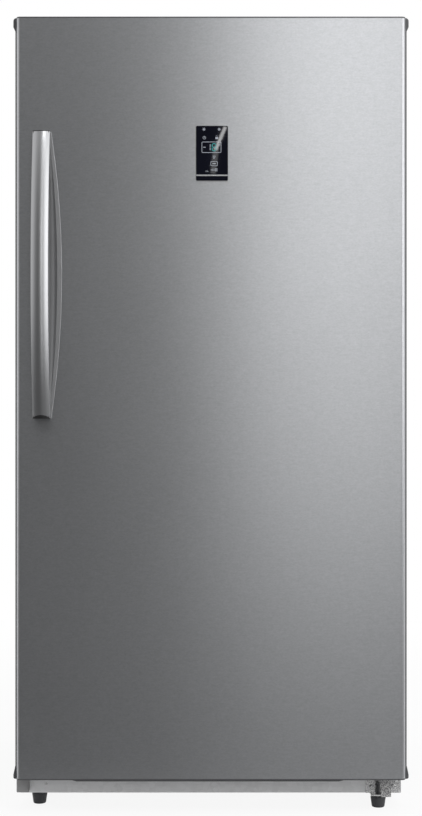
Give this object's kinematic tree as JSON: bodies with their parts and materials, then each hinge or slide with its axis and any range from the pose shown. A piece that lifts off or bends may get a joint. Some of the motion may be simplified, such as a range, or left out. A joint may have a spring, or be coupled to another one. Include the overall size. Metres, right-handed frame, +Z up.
{
  "type": "upright freezer",
  "caption": "Upright freezer with a hinged insulated door, bowed bar handle, touch panel, glass shelves, pull-out drawers and levelling feet.",
  "frame": {"origin": "middle of the whole object's base, on the floor", "axes": "+X to the right of a viewer facing the door, +Y from the door towards the back, +Z up"},
  "size_m": [0.84, 0.757, 1.699],
  "materials": {
    "stainless": "vertical brushed stainless steel",
    "shell_steel": "grey textured paint over steel",
    "galvanised": "bare zinc-coated steel",
    "zinc_plate": "bright zinc-plated steel",
    "liner_plastic": "white vacuum-formed plastic",
    "foam": "rigid insulating foam",
    "dark_plastic": "dark grey moulded plastic",
    "trim_plastic": "dark satin plastic",
    "gasket_rubber": "soft grey vinyl",
    "clear_plastic": "clear plastic",
    "panel_glass": "black gloss glass",
    "shelf_glass": "tempered glass",
    "white_plastic": "white moulded plastic",
    "black_paint": "black painted steel",
    "copper": "copper tube",
    "aluminium": "bare aluminium",
    "rubber": "black rubber"
  },
  "bodies": {
    "cabinet": {"back_panel": "galvanised", "base_frame": "galvanised", "cabinet_foam": "foam", "cabinet_screws": "zinc_plate", "cabinet_shell": "shell_steel", "compressor": "black_paint", "compressor_mounts": "rubber", "compressor_tray": "galvanised", "condenser": "black_paint", "condenser_fan_motor": "black_paint", "condenser_fan_shroud": "dark_plastic", "control_box": "white_plastic", "defrost_heater": "aluminium", "drain_tube": "white_plastic", "evaporation_pan": "dark_plastic", "evaporator": "aluminium", "evaporator_cover": "liner_plastic", "evaporator_fan_motor": "black_paint", "front_rail": "galvanised", "inner_liner": "liner_plastic", "interior_light": "white_plastic", "lower_hinge_bracket": "zinc_plate", "power_inlet": "dark_plastic", "rail_corner_block": "dark_plastic", "rear_cover": "galvanised", "rear_spacers": "dark_plastic", "refrigerant_pipes": "copper", "shelf_frame_1": "white_plastic", "shelf_frame_2": "white_plastic", "shelf_frame_3": "white_plastic", "shelf_glass_1": "shelf_glass", "shelf_glass_2": "shelf_glass", "shelf_glass_3": "shelf_glass", "terminal_cover": "dark_plastic", "upper_hinge_bracket": "zinc_plate", "upper_hinge_cover": "dark_plastic"},
    "door": {"door_skin": "stainless", "door_foam": "foam", "door_liner": "liner_plastic", "door_gasket": "gasket_rubber", "door_side_trims": "trim_plastic", "door_end_cap_top": "dark_plastic", "door_end_cap_bottom": "dark_plastic", "door_bin_1": "clear_plastic", "door_bin_2": "clear_plastic", "door_bin_3": "clear_plastic", "control_panel_glass": "panel_glass", "control_panel_housing": "trim_plastic", "handle_bar": "stainless", "handle_mounts": "trim_plastic", "grip_cup": "trim_plastic", "hinge_bushes": "white_plastic"},
    "drawer_upper": {"drawer_upper": "clear_plastic"},
    "drawer_lower": {"drawer_lower": "clear_plastic"},
    "evaporator_fan": {"evaporator_fan": "white_plastic"},
    "condenser_fan": {"condenser_fan": "dark_plastic"},
    "rear_roller_left": {"rear_roller_left": "rubber"},
    "rear_roller_right": {"rear_roller_right": "rubber"},
    "foot_left": {"foot_left": "dark_plastic"},
    "foot_right": {"foot_right": "dark_plastic"}
  },
  "joints": [
    {"name": "door_hinge", "type": "hinge", "parent": "cabinet", "child": "door", "pos_m": [0.39, -0.2905, 0.88], "axis": [0, 0, 1], "range_deg": [0, 130]},
    {"name": "drawer_upper_slide", "type": "slide", "parent": "cabinet", "child": "drawer_upper", "axis": [0, -1, 0], "range_m": [0, 0.216]},
    {"name": "drawer_lower_slide", "type": "slide", "parent": "cabinet", "child": "drawer_lower", "axis": [0, -1, 0], "range_m": [0, 0.216]},
    {"name": "evaporator_fan_spin", "type": "hinge", "parent": "cabinet", "child": "evaporator_fan", "pos_m": [0, 0.2468, 1.092], "axis": [0, 1, 0], "continuous": true},
    {"name": "condenser_fan_spin", "type": "hinge", "parent": "cabinet", "child": "condenser_fan", "pos_m": [0.1, 0.247, 0.18], "axis": [1, 0, 0], "continuous": true},
    {"name": "rear_roller_left_spin", "type": "hinge", "parent": "cabinet", "child": "rear_roller_left", "pos_m": [-0.37, 0.3335, 0.018], "axis": [1, 0, 0], "continuous": true},
    {"name": "rear_roller_right_spin", "type": "hinge", "parent": "cabinet", "child": "rear_roller_right", "pos_m": [0.37, 0.3335, 0.018], "axis": [1, 0, 0], "continuous": true},
    {"name": "foot_left_screw", "type": "slide", "parent": "cabinet", "child": "foot_left", "axis": [0, 0, -1], "range_m": [0, 0.012]},
    {"name": "foot_right_screw", "type": "slide", "parent": "cabinet", "child": "foot_right", "axis": [0, 0, -1], "range_m": [0, 0.012]}
  ],
  "couplings": [
    {"joint": "drawer_upper_slide", "follows": "door_hinge", "m_per_rad": 0.095},
    {"joint": "drawer_lower_slide", "follows": "door_hinge", "m_per_rad": 0.095}
  ]
}
